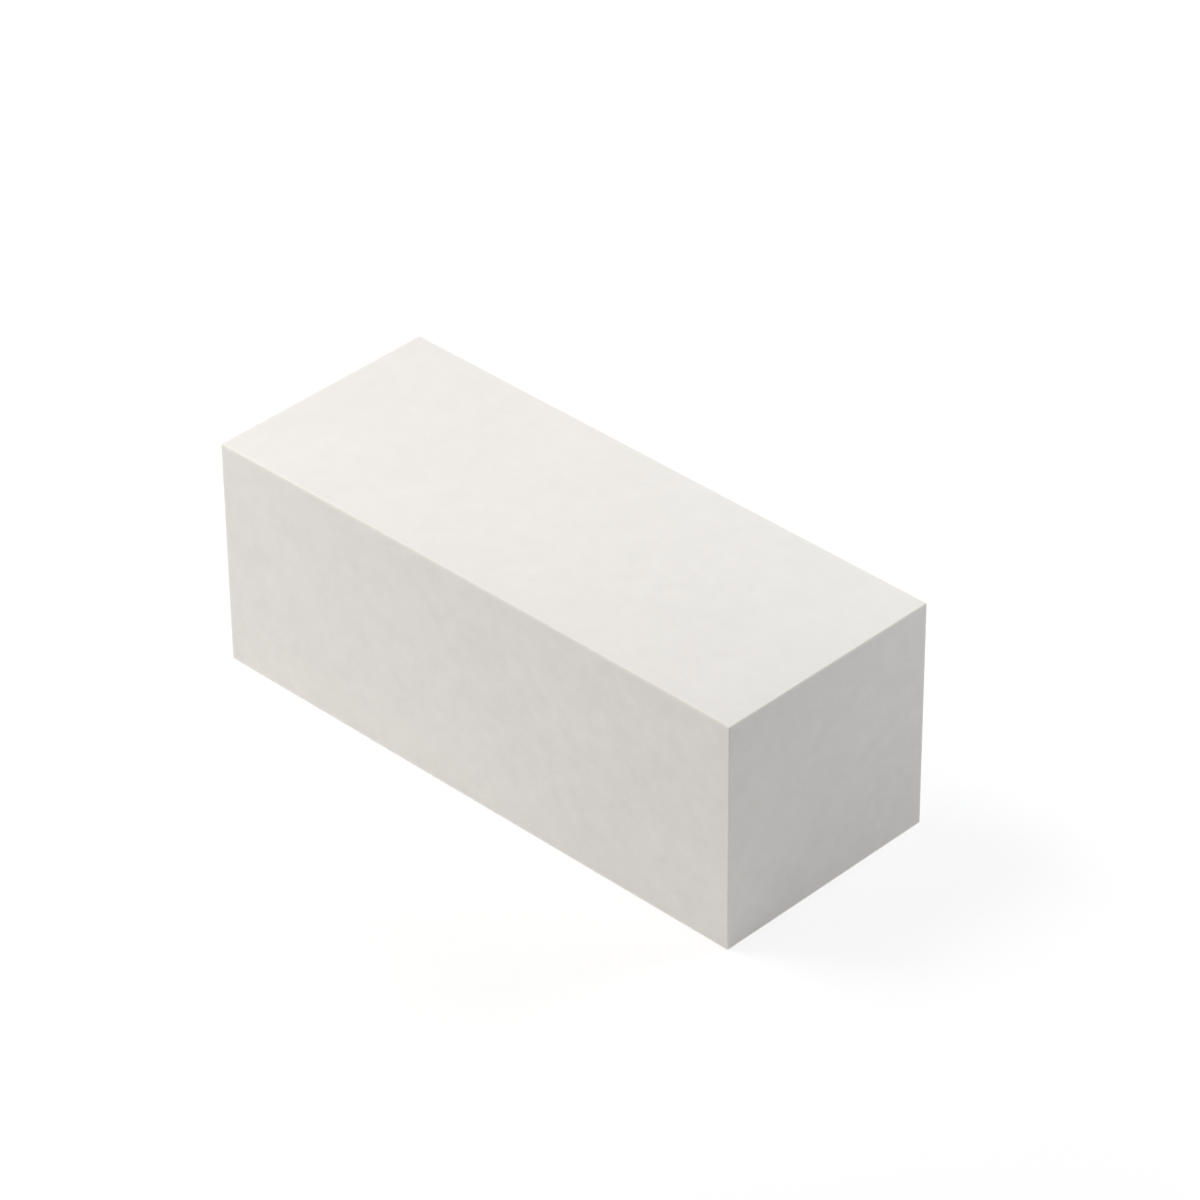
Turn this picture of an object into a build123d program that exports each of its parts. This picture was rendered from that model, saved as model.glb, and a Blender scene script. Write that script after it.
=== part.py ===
from build123d import *
import os

# A plain block of fine-celled foam, cut square on all six sides and made in one piece.
#
# Millimetres. The origin is the middle of the bottom face, which the block stands on.
# +X runs along the length, +Y across the width and +Z up.

length = 100.0
width = 40.0
height = 38.0
edge_radius = 0.3  # the slight rounding that a sharp cut leaves on soft foam


def make_foam_block():
    """The whole block as one solid, with every edge and corner just taken off."""
    block = Box(length, width, height, align=(Align.CENTER, Align.CENTER, Align.MIN))
    return fillet(block.edges(), edge_radius)


os.makedirs("parts", exist_ok=True)
export_step(make_foam_block(), "parts/foam_block.step")
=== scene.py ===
"""A square-cut block of fine-celled foam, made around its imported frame, and a plain studio for it."""

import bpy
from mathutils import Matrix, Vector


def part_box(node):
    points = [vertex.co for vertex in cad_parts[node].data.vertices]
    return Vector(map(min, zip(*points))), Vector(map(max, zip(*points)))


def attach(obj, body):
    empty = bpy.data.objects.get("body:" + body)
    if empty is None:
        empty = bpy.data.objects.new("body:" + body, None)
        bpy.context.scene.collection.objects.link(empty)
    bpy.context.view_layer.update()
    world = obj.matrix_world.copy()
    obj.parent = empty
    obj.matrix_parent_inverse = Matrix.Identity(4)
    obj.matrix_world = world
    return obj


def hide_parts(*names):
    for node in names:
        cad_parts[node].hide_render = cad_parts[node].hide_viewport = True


bl_info = {
    "name": "Foam Block",
    "version": (1, 0, 0),
    "blender": (4, 5, 0),
    "location": "3D View > Sidebar > Foam Block",
    "description": "Makes a square-cut block of fine-celled foam and a plain studio around it",
    "category": "Object",
}

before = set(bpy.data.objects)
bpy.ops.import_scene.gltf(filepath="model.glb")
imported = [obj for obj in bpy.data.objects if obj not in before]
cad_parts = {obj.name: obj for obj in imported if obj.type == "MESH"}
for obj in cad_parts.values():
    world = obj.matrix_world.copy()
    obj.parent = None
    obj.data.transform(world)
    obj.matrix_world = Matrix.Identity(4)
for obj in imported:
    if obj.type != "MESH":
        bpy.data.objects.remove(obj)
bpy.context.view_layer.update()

import math

import bpy
from bpy.props import FloatProperty, FloatVectorProperty, IntProperty, PointerProperty
from bpy.types import NodeSocket, Operator, Panel, PropertyGroup
from mathutils import Matrix, Vector

NODE = "foam_block"
MM = 0.001
LOW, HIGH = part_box(NODE)
SIZE = HIGH - LOW
CENTRE = (LOW + HIGH) / 2
RIM_ROWS = 3  # rows of the grid that go round each cut edge
FLOOR_GAP = 0.05 * MM
FLOOR_REACH = 40 * SIZE.x
SENSOR_WIDTH = 36  # in millimetres


# ---------------------------------------------------------------- settings


class FoamBlockSettings(PropertyGroup):
    """The foam block's shape and finish."""

    edge_radius: FloatProperty(
        name="Edge Radius",
        description="How far each cut edge is rounded over",
        default=0.22 * MM,
        min=0.01 * MM,
        unit="LENGTH",
        precision=5,
    )
    grid_pitch: FloatProperty(
        name="Grid Pitch",
        description="The distance between neighbouring points on a face",
        default=0.5 * MM,
        min=0.2 * MM,
        unit="LENGTH",
        precision=5,
    )
    hollow: FloatProperty(
        name="Hollow",
        description="How far the front face's top edge lies back at the middle of its length",
        default=0.22 * MM,
        unit="LENGTH",
        precision=5,
    )
    wave_height: FloatProperty(
        name="Wave Height",
        description="Half the height of the broad, shallow waves that the cut leaves in a face",
        default=0.03 * MM,
        unit="LENGTH",
        precision=5,
    )
    wave_length: FloatProperty(
        name="Wave Length",
        description="The distance between those waves",
        default=26 * MM,
        unit="LENGTH",
        precision=5,
    )
    grain_height: FloatProperty(
        name="Grain Height",
        description="Half the height of the fine dimples where the cut has opened the cells",
        default=0.01 * MM,
        unit="LENGTH",
        precision=6,
    )
    grain_size: FloatProperty(
        name="Grain Size",
        description="The width of those dimples",
        default=2.4 * MM,
        unit="LENGTH",
        precision=5,
    )
    cell_size: FloatProperty(
        name="Cell Size",
        description="The width of the foam's own cells, which only the finish shows",
        default=0.25 * MM,
        unit="LENGTH",
        precision=5,
    )
    cell_depth: FloatProperty(
        name="Cell Depth",
        description="How deep the opened cells look",
        default=0.02 * MM,
        unit="LENGTH",
        precision=6,
    )
    # Painted shade: the cells' hollows are painted darker than their walls.
    cell_hollow_shade: FloatProperty(
        name="Cell Hollow Shade",
        description="How much a cell's hollow is darker than its walls, as a share of the clouds' contrast",
        default=0.2,
        min=0,
        max=1,
        subtype="FACTOR",
    )
    cloud_size: FloatProperty(
        name="Cloud Size",
        description="The width of the faint lighter and darker clouds in the foam",
        default=3 * MM,
        unit="LENGTH",
        precision=5,
    )
    # The clouds are partly the foam's own uneven tone and partly painted shade of the cut's relief.
    cloud_contrast: FloatProperty(
        name="Cloud Contrast",
        description="How much lighter and darker than the foam's colour the clouds go on the sides",
        default=0.09,
        min=0,
        max=1,
        subtype="FACTOR",
    )
    # Painted shade: the clouds are painted stronger on the sides than on the top and base, because light
    # falls at a slant on the sides and shows more of the relief.
    top_clouds_and_shade: FloatProperty(
        name="Top Clouds",
        description="The strength of the clouds on the top and base, as a share of that on the sides",
        default=0.6,
        min=0,
        max=1,
        subtype="FACTOR",
    )
    colour: FloatVectorProperty(
        name="Colour",
        description="The foam's own colour, a warm off-white",
        default=(0.847, 0.823, 0.792),
        min=0,
        max=1,
        size=3,
        subtype="COLOR",
    )
    # Painted highlight: the cut edges are painted paler and warmer, standing in for light that the rounded
    # edges catch and that soaks through the thin foam.
    edge_highlight_colour: FloatVectorProperty(
        name="Edge Highlight Colour",
        description="The colour of the cut edges, where light soaks through the thin foam",
        default=(0.906, 0.874, 0.814),
        min=0,
        max=1,
        size=3,
        subtype="COLOR",
    )
    # The width of the painted highlight along the edges, and of the band where the clouds' strength changes
    # from the top's to the sides'.
    edge_width: FloatProperty(
        name="Edge Width",
        description="How far in from an edge its colour reaches",
        default=0.7 * MM,
        unit="LENGTH",
        precision=5,
    )
    seed: IntProperty(
        name="Seed",
        description="Chooses another pattern of waves, dimples and clouds",
        default=7,
        min=0,
    )


class StudioSettings(PropertyGroup):
    """The camera, the lamps and the floor that the block is shown on."""

    camera_azimuth: FloatProperty(
        name="Camera Azimuth",
        description="The camera's turn about the block, from straight in front towards its right end",
        default=math.radians(44.35),
        subtype="ANGLE",
    )
    camera_elevation: FloatProperty(
        name="Camera Elevation",
        description="How far the camera looks down",
        default=math.radians(35.09),
        subtype="ANGLE",
    )
    camera_roll: FloatProperty(
        name="Camera Roll",
        description="The camera's turn about its own line of sight",
        default=math.radians(-0.49),
        subtype="ANGLE",
    )
    camera_distance: FloatProperty(
        name="Camera Distance",
        description="From the camera to the block's middle, along its line of sight",
        default=785.2 * MM,
        unit="LENGTH",
    )
    camera_aside: FloatProperty(
        name="Camera Aside",
        description="How far to the right of the block's middle the camera looks",
        default=4.61 * MM,
        unit="LENGTH",
        precision=5,
    )
    camera_above: FloatProperty(
        name="Camera Above",
        description="How far above the block's middle the camera looks",
        default=4.49 * MM,
        unit="LENGTH",
        precision=5,
    )
    lens: FloatProperty(
        name="Lens",
        description="The camera's focal length, in millimetres",
        default=165,
        min=1,
    )
    lamp_power: FloatProperty(
        name="Lamp Power",
        description="Scales every lamp's power",
        default=1,
        min=0,
    )
    ambient: FloatProperty(
        name="Ambient",
        description="How bright the surroundings are to everything but the camera",
        default=0.32,
        min=0,
    )
    floor_shadow: FloatProperty(
        name="Floor Shadow",
        description="How much of the block's shadow shows on the floor beside it",
        default=0.4,
        min=0,
        max=1,
        subtype="FACTOR",
    )
    floor_white: FloatProperty(
        name="Floor White",
        description="How bright the rest of the floor looks, where 1 is white",
        default=1.18,
        min=0,
    )
    floor_colour: FloatVectorProperty(
        name="Floor Colour",
        description="The colour of the floor, plain and pale",
        default=(0.92, 0.92, 0.92),
        min=0,
        max=1,
        size=3,
        subtype="COLOR",
    )


# ---------------------------------------------------------------- node trees


class Nodes:
    """Adds nodes to a tree, and gives their inputs a value or a link."""

    def __init__(self, tree):
        self.tree = tree

    def add(self, kind, inputs=(), **settings):
        """A new node with these settings; inputs maps a name or a number to a value or a socket."""
        node = self.tree.nodes.new(kind)
        for name, value in settings.items():
            setattr(node, name, value)
        for key, value in dict(inputs).items():
            self.put(node.inputs[key], value)
        return node

    def put(self, socket, value):
        """Links a socket to the input, or sets the input's own value."""
        if isinstance(value, NodeSocket):
            self.tree.links.new(value, socket)
        else:
            socket.default_value = value

    def maths(self, operation, *values):
        """The result of a Math node."""
        return self.add("ShaderNodeMath", enumerate(values), operation=operation).outputs[0]

    def vectors(self, operation, *values):
        """The result of a Vector Math node."""
        return self.add("ShaderNodeVectorMath", enumerate(values), operation=operation).outputs[0]

    def scaled(self, vector, factor):
        """The vector times a number."""
        inputs = {"Vector": vector, "Scale": factor}
        return self.add("ShaderNodeVectorMath", inputs, operation="SCALE").outputs[0]

    def noise(self, vector, scale, detail=0.0, seed=0.0, roughness=0.5):
        """Noise from 0 to 1, with a middle of about a half."""
        inputs = {"Vector": vector, "W": seed, "Scale": scale, "Detail": detail, "Roughness": roughness}
        return self.add("ShaderNodeTexNoise", inputs, noise_dimensions="4D").outputs[0]

    def swing(self, value, height):
        """A value from 0 to 1 made one from -height to height."""
        inputs = {"Value": value, "To Min": self.maths("MULTIPLY", height, -1), "To Max": height}
        return self.add("ShaderNodeMapRange", inputs, clamp=False).outputs[0]

    def arrange(self):
        """Puts the nodes in columns, each to the right of what feeds it."""
        column = {node.name: 0 for node in self.tree.nodes}
        for _ in self.tree.nodes:
            for link in self.tree.links:
                after = column[link.from_node.name] + 1
                column[link.to_node.name] = max(column[link.to_node.name], after)
        rows = {}
        for node in self.tree.nodes:
            place = column[node.name]
            rows[place] = rows.get(place, 0) + 1
            node.location = (220 * place, -220 * rows[place])


def new_input(tree, name, kind, default=None, subtype=None):
    """Adds a named input to a geometry tree."""
    socket = tree.interface.new_socket(name, in_out="INPUT", socket_type=kind)
    if subtype:
        socket.subtype = subtype
    if default is not None:
        socket.default_value = default


def graded(nodes, coordinate, extent, pitch, radius, rim):
    """One coordinate of an even grid, moved so that its last rows lie inside the rounded edge.

    The outermost rim rows at each end share the edge radius, and the others share what is left.
    """
    half = nodes.maths("MULTIPLY", extent, 0.5)
    cells = nodes.maths("ROUND", nodes.maths("DIVIDE", extent, pitch))
    from_end = nodes.maths("SUBTRACT", half, nodes.maths("ABSOLUTE", coordinate))
    step = nodes.maths("DIVIDE", extent, cells)
    row = nodes.maths("DIVIDE", from_end, step)
    in_rim = nodes.maths("MULTIPLY", nodes.maths("MINIMUM", row, rim), nodes.maths("DIVIDE", radius, rim))
    flat = nodes.maths("SUBTRACT", extent, nodes.maths("MULTIPLY", radius, 2))
    flat_step = nodes.maths("DIVIDE", flat, nodes.maths("SUBTRACT", cells, 2 * rim))
    past_rim = nodes.maths("MAXIMUM", nodes.maths("SUBTRACT", row, rim), 0)
    inwards = nodes.maths("MULTIPLY_ADD", past_rim, flat_step, in_rim)
    return nodes.maths("MULTIPLY", nodes.maths("SIGN", coordinate), nodes.maths("SUBTRACT", half, inwards))


def block_tree():
    """The tree that makes the block: a gridded box, rounded edges, a hollow and the cut's relief."""
    tree = bpy.data.node_groups.new("Cut Foam Block", "GeometryNodeTree")
    new_input(tree, "Size", "NodeSocketVector", SIZE, "TRANSLATION")
    new_input(tree, "Centre", "NodeSocketVector", CENTRE, "TRANSLATION")
    shape = ("Grid Pitch", "Edge Radius", "Hollow")
    relief = ("Wave Height", "Wave Length", "Grain Height", "Grain Size")
    for name in shape + relief:
        new_input(tree, name, "NodeSocketFloat", MM, "DISTANCE")
    new_input(tree, "Seed", "NodeSocketInt", 0)
    new_input(tree, "Material", "NodeSocketMaterial")
    tree.interface.new_socket("Geometry", in_out="OUTPUT", socket_type="NodeSocketGeometry")
    nodes = Nodes(tree)
    given = nodes.add("NodeGroupInput").outputs

    # An even grid on all six faces of the box.
    extents = nodes.add("ShaderNodeSeparateXYZ", {"Vector": given["Size"]}).outputs
    box = nodes.add("GeometryNodeMeshCube", {"Size": given["Size"]})
    for axis in "XYZ":
        cells = nodes.maths("ROUND", nodes.maths("DIVIDE", extents[axis], given["Grid Pitch"]))
        nodes.put(box.inputs["Vertices " + axis], nodes.maths("ADD", cells, 1))

    # The last rows of each face move into its edges, and the edges are rounded over.
    place = nodes.add("GeometryNodeInputPosition").outputs["Position"]
    even = nodes.add("ShaderNodeSeparateXYZ", {"Vector": place}).outputs
    moved = nodes.add("ShaderNodeCombineXYZ")
    for axis in "XYZ":
        value = graded(nodes, even[axis], extents[axis], given["Grid Pitch"], given["Edge Radius"], RIM_ROWS)
        nodes.put(moved.inputs[axis], value)
    half = nodes.scaled(given["Size"], 0.5)
    inner = nodes.vectors("SUBTRACT", half, given["Edge Radius"])
    core = nodes.vectors("MINIMUM", moved.outputs[0], inner)
    core = nodes.vectors("MAXIMUM", core, nodes.scaled(inner, -1))
    outwards = nodes.vectors("NORMALIZE", nodes.vectors("SUBTRACT", moved.outputs[0], core))
    rounded = nodes.vectors("ADD", core, nodes.scaled(outwards, given["Edge Radius"]))

    # The hollow is deepest at the middle of the front top edge, and gone at the ends, base and back.
    shares = nodes.vectors("DIVIDE", rounded, given["Size"])
    share = nodes.add("ShaderNodeSeparateXYZ", {"Vector": shares}).outputs
    along = nodes.maths("SUBTRACT", 1, nodes.maths("POWER", nodes.maths("MULTIPLY", share["X"], 2), 2))
    forward = nodes.maths("SUBTRACT", 0.5, share["Y"])
    upward = nodes.maths("ADD", share["Z"], 0.5)
    depth = nodes.maths("MULTIPLY", nodes.maths("MULTIPLY", along, forward), upward)
    drawn = nodes.maths("MULTIPLY", depth, given["Hollow"])
    back = nodes.add("ShaderNodeCombineXYZ", {"Y": drawn}).outputs[0]

    # Broad waves and fine dimples stand out along the surface's own direction.
    wave = nodes.noise(rounded, nodes.maths("DIVIDE", 1, given["Wave Length"]), 1, given["Seed"])
    grain = nodes.noise(rounded, nodes.maths("DIVIDE", 1, given["Grain Size"]), 2, given["Seed"])
    height = nodes.maths(
        "ADD",
        nodes.swing(wave, given["Wave Height"]),
        nodes.swing(grain, given["Grain Height"]),
    )
    raised = nodes.scaled(outwards, height)

    about_middle = nodes.vectors("ADD", nodes.vectors("ADD", rounded, back), raised)
    final = nodes.vectors("ADD", about_middle, given["Centre"])
    shaped = nodes.add("GeometryNodeSetPosition", {"Geometry": box.outputs["Mesh"], "Position": final})
    smooth = nodes.add("GeometryNodeSetShadeSmooth", {"Geometry": shaped.outputs[0]})
    real = nodes.add("GeometryNodeRealizeInstances", {"Geometry": smooth.outputs[0]})
    done = nodes.add("GeometryNodeSetMaterial", {"Geometry": real.outputs[0], "Material": given["Material"]})
    nodes.add("NodeGroupOutput", {"Geometry": done.outputs[0]})
    nodes.arrange()
    return tree


def made_by(tree, name, values):
    """A plain mesh object made by the geometry tree with these input values."""
    item = bpy.data.objects.new(name, bpy.data.meshes.new(name))
    bpy.context.scene.collection.objects.link(item)
    modifier = item.modifiers.new("Shape", "NODES")
    modifier.node_group = tree
    for socket in tree.interface.items_tree:
        if socket.name in values:
            modifier[socket.identifier] = values[socket.name]
    depsgraph = bpy.context.evaluated_depsgraph_get()
    mesh = bpy.data.meshes.new_from_object(item.evaluated_get(depsgraph), depsgraph=depsgraph)
    item.modifiers.remove(modifier)
    item.data = mesh
    mesh.name = name
    return item


# ---------------------------------------------------------------- finishes


def depths(nodes, place):
    """How far a point is inside each pair of the block's faces, along X, Y and Z."""
    out_from_middle = nodes.vectors("ABSOLUTE", nodes.vectors("SUBTRACT", place, CENTRE))
    inwards = nodes.vectors("SUBTRACT", SIZE / 2, out_from_middle)
    return nodes.add("ShaderNodeSeparateXYZ", {"Vector": inwards}).outputs


def from_edge(nodes, x, y, z):
    """How far a point on the surface is from the nearest edge: the middle one of its three depths."""
    nearer = nodes.maths("MINIMUM", x, y)
    farther = nodes.maths("MAXIMUM", x, y)
    return nodes.maths("MAXIMUM", nearer, nodes.maths("MINIMUM", farther, z))


def foam_finish(settings):
    """Matte, warm off-white foam: faint clouds that are partly its own uneven tone and partly painted shade
    of the cut's relief, opened cells with painted shade in their hollows, a painted highlight along the
    edges and a slightly uneven gloss.
    """
    broad_size = 6 * settings.cloud_size
    patch_size = 5 * settings.cloud_size
    broad_share = 0.3
    fine_roughness = 0.62
    middle_of_cells = 0.45
    material = bpy.data.materials.new("Fine-celled foam")
    material.use_nodes = True
    material.node_tree.nodes.clear()
    nodes = Nodes(material.node_tree)
    place = nodes.add("ShaderNodeTexCoord").outputs["Object"]
    fine_clouds = nodes.noise(place, 1 / settings.cloud_size, 4, settings.seed, fine_roughness)
    broad_clouds = nodes.noise(place, 1 / broad_size, 1, settings.seed)
    patches = nodes.noise(place, 1 / patch_size, 1, settings.seed + 1)
    patchy = nodes.add(
        "ShaderNodeMapRange",
        {"Value": patches, "From Min": 0.3, "From Max": 0.7, "To Min": 0.5, "To Max": 1},
    )
    uneven = nodes.maths("MULTIPLY", nodes.maths("SUBTRACT", fine_clouds, 0.5), patchy.outputs[0])
    uneven = nodes.maths("MULTIPLY_ADD", nodes.maths("SUBTRACT", broad_clouds, 0.5), broad_share, uneven)
    cell = nodes.add(
        "ShaderNodeTexVoronoi",
        {"Vector": place, "Scale": 1 / settings.cell_size},
        feature="SMOOTH_F1",
    )
    # Painted shade and light: each cell's hollow is painted darker and its walls lighter, as the shade and
    # light of the opened cells.
    wall = nodes.maths("SUBTRACT", cell.outputs["Distance"], middle_of_cells)
    uneven = nodes.maths("MULTIPLY_ADD", wall, settings.cell_hollow_shade, uneven)
    x, y, z = depths(nodes, place)
    # The clouds are partly the foam's own uneven tone and partly painted shade of the cut's relief. They are
    # painted at full strength on the sides, where light falls at a slant and shows the relief more, and at a
    # smaller share on the top and base.
    strength = nodes.add(
        "ShaderNodeMapRange",
        {"Value": z, "From Max": settings.edge_width, "To Min": settings.top_clouds_and_shade, "To Max": 1},
    )
    clouds = nodes.maths("MULTIPLY_ADD", uneven, strength.outputs[0], 0.5)
    darker = [value * (1 - settings.cloud_contrast) for value in settings.colour] + [1]
    lighter = [value * (1 + settings.cloud_contrast) for value in settings.colour] + [1]
    tone = nodes.add("ShaderNodeMix", data_type="RGBA")
    nodes.put(tone.inputs["Factor"], clouds)
    nodes.put(tone.inputs[6], darker)
    nodes.put(tone.inputs[7], lighter)
    # Painted highlight: a paler, warmer colour along every cut edge, in place of light caught on the rounded
    # edges and soaking through the thin foam.
    painted_highlight_share = nodes.add(
        "ShaderNodeMapRange",
        {
            "Value": from_edge(nodes, x, y, z),
            "From Min": 0,
            "From Max": settings.edge_width,
            "To Min": 1,
            "To Max": 0,
        },
        interpolation_type="SMOOTHSTEP",
    )
    colour = nodes.add("ShaderNodeMix", data_type="RGBA")
    nodes.put(colour.inputs["Factor"], painted_highlight_share.outputs[0])
    nodes.put(colour.inputs[6], tone.outputs[2])
    nodes.put(colour.inputs[7], [*settings.edge_highlight_colour, 1])
    opened = nodes.add(
        "ShaderNodeBump",
        {"Strength": 1.0, "Distance": settings.cell_depth, "Height": cell.outputs["Distance"]},
    )
    gloss = nodes.add(
        "ShaderNodeMapRange",
        {"Value": fine_clouds, "To Min": 0.86, "To Max": 0.96},
    )
    shader = nodes.add(
        "ShaderNodeBsdfPrincipled",
        {
            "Base Color": colour.outputs[2],
            "Roughness": gloss.outputs[0],
            "Normal": opened.outputs[0],
            "Specular IOR Level": 0.3,
        },
    )
    nodes.add("ShaderNodeOutputMaterial", {"Surface": shader.outputs[0]})
    nodes.arrange()
    return material


def seen_directly(nodes):
    """1 for a ray that shows the surroundings to the eye, straight or in a shiny or clear surface."""
    path = nodes.add("ShaderNodeLightPath").outputs
    shiny = nodes.maths("ADD", path["Is Camera Ray"], path["Is Glossy Ray"])
    return nodes.add(
        "ShaderNodeMath",
        enumerate((shiny, path["Is Transmission Ray"])),
        operation="ADD",
        use_clamp=True,
    ).outputs[0]


def floor_finish(settings):
    """A plain pale floor that keeps the block's shadow near it and goes white further out."""
    near, far = SIZE.x, 3 * SIZE.x
    material = bpy.data.materials.new("Pale floor")
    material.use_nodes = True
    material.node_tree.nodes.clear()
    nodes = Nodes(material.node_tree)
    pale = nodes.add("ShaderNodeBsdfDiffuse", {"Color": [*settings.floor_colour, 1]})
    white = nodes.add("ShaderNodeEmission", {"Strength": settings.floor_white})
    place = nodes.add("ShaderNodeTexCoord").outputs["Object"]
    away = nodes.add("ShaderNodeVectorMath", {0: place}, operation="LENGTH").outputs["Value"]
    whiteness = nodes.add(
        "ShaderNodeMapRange",
        {
            "Value": away,
            "From Min": near,
            "From Max": far,
            "To Min": 1 - settings.floor_shadow,
            "To Max": 1,
        },
        interpolation_type="SMOOTHSTEP",
    )
    share = nodes.maths("MULTIPLY", whiteness.outputs[0], seen_directly(nodes))
    mixed = nodes.add("ShaderNodeMixShader", {0: share, 1: pale.outputs[0], 2: white.outputs[0]})
    nodes.add("ShaderNodeOutputMaterial", {"Surface": mixed.outputs[0]})
    nodes.arrange()
    return material


# ---------------------------------------------------------------- studio


# Each lamp's turn about the block and height above the floor, in degrees, its distance and width
# in block lengths, its power in watts and its colour.
LAMPS = {
    "key": (-60, 60, 3, 1.5, 0.427, (1.0, 0.986, 0.96)),
    "fill": (-40, 15, 5, 3, 0.58, (1.0, 0.969, 0.926)),
    "back": (150, 40, 2.5, 1.2, 0.228, (0.925, 0.956, 1.0)),
}


def direction(azimuth, elevation):
    """The unit vector from the block towards a lamp or camera. Azimuth 0 is straight in front."""
    level = math.cos(elevation)
    return Vector((math.sin(azimuth) * level, -math.cos(azimuth) * level, math.sin(elevation)))


def looking(towards, roll=0):
    """The turn of a lamp or camera that looks along the vector towards, level unless it is rolled."""
    return towards.to_track_quat("-Z", "Y").to_matrix() @ Matrix.Rotation(roll, 3, "Z")


def placed(item, position, turn):
    """Puts a lamp or camera in the scene."""
    item.matrix_world = Matrix.Translation(position) @ turn.to_4x4()
    bpy.context.scene.collection.objects.link(item)


def make_camera(settings):
    """The camera that the block is seen through."""
    data = bpy.data.cameras.new("Camera")
    data.lens = settings.lens
    data.sensor_width = SENSOR_WIDTH
    camera = bpy.data.objects.new("Camera", data)
    towards = -direction(settings.camera_azimuth, settings.camera_elevation)
    turn = looking(towards, settings.camera_roll)
    aim = CENTRE + turn @ Vector((settings.camera_aside, settings.camera_above, 0))
    placed(camera, aim - settings.camera_distance * towards, turn)
    bpy.context.scene.camera = camera


def make_lamps(settings):
    """Soft square lamps that look at the block."""
    for name, (azimuth, elevation, distance, width, power, colour) in LAMPS.items():
        data = bpy.data.lights.new(name, "AREA")
        data.size = width * SIZE.x
        data.energy = power * settings.lamp_power
        data.color = colour
        towards = direction(math.radians(azimuth), math.radians(elevation))
        lamp = bpy.data.objects.new(name, data)
        lamp.visible_camera = False
        placed(lamp, CENTRE + distance * SIZE.x * towards, looking(-towards))


def make_floor(settings):
    """A level floor, a hair below the block's lowest point."""
    level = LOW.z - FLOOR_GAP
    ends = ((-1, -1), (1, -1), (1, 1), (-1, 1))
    corners = [(x * FLOOR_REACH, y * FLOOR_REACH, level) for x, y in ends]
    mesh = bpy.data.meshes.new("floor")
    mesh.from_pydata(corners, [], [(0, 1, 2, 3)])
    mesh.materials.append(floor_finish(settings))
    floor = bpy.data.objects.new("floor", mesh)
    bpy.context.scene.collection.objects.link(floor)


def make_surroundings(settings):
    """An even, soft light from all round, which the camera sees as white."""
    world = bpy.data.worlds.new("Studio")
    world.use_nodes = True
    world.node_tree.nodes.clear()
    nodes = Nodes(world.node_tree)
    strength = nodes.add(
        "ShaderNodeMapRange",
        {"Value": seen_directly(nodes), "To Min": settings.ambient, "To Max": 1},
    )
    white = nodes.add("ShaderNodeBackground", {"Color": (1, 1, 1, 1), "Strength": strength.outputs[0]})
    nodes.add("ShaderNodeOutputWorld", {"Surface": white.outputs[0]})
    nodes.arrange()
    bpy.context.scene.world = world


# ---------------------------------------------------------------- operators and panel


class FOAM_OT_block(Operator):
    """Make the foam block in the place of its plain CAD solid"""

    bl_idname = "foam.block"
    bl_label = "Foam Block"

    def execute(self, context):
        settings = context.scene.foam_block
        values = {
            "Size": SIZE,
            "Centre": CENTRE,
            "Grid Pitch": settings.grid_pitch,
            "Edge Radius": settings.edge_radius,
            "Hollow": settings.hollow,
            "Wave Height": settings.wave_height,
            "Wave Length": settings.wave_length,
            "Grain Height": settings.grain_height,
            "Grain Size": settings.grain_size,
            "Seed": settings.seed,
            "Material": foam_finish(settings),
        }
        block = made_by(block_tree(), "cut_foam_block", values)
        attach(block, "root")
        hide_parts(NODE)
        return {"FINISHED"}


class FOAM_OT_studio(Operator):
    """Make the camera, the lamps, the floor and the surroundings"""

    bl_idname = "foam.studio"
    bl_label = "Studio"

    def execute(self, context):
        settings = context.scene.foam_studio
        make_camera(settings)
        make_lamps(settings)
        make_floor(settings)
        make_surroundings(settings)
        context.scene.view_settings.view_transform = "Standard"
        return {"FINISHED"}


class FOAM_PT_panel(Panel):
    """Lists the block's and the studio's settings, with a button for each"""

    bl_label = "Foam Block"
    bl_idname = "FOAM_PT_panel"
    bl_space_type = "VIEW_3D"
    bl_region_type = "UI"
    bl_category = "Foam Block"

    def draw(self, context):
        for group, operator in (("foam_block", FOAM_OT_block), ("foam_studio", FOAM_OT_studio)):
            settings = getattr(context.scene, group)
            column = self.layout.column()
            for name in settings.__annotations__:
                column.prop(settings, name)
            column.operator(operator.bl_idname)


CLASSES = (FoamBlockSettings, StudioSettings, FOAM_OT_block, FOAM_OT_studio, FOAM_PT_panel)


def register():
    for item in CLASSES:
        bpy.utils.register_class(item)
    bpy.types.Scene.foam_block = PointerProperty(type=FoamBlockSettings)
    bpy.types.Scene.foam_studio = PointerProperty(type=StudioSettings)


def unregister():
    del bpy.types.Scene.foam_studio
    del bpy.types.Scene.foam_block
    for item in reversed(CLASSES):
        bpy.utils.unregister_class(item)


def main():
    register()
    bpy.ops.foam.studio()
    bpy.ops.foam.block()


if __name__ == "__main__":
    main()
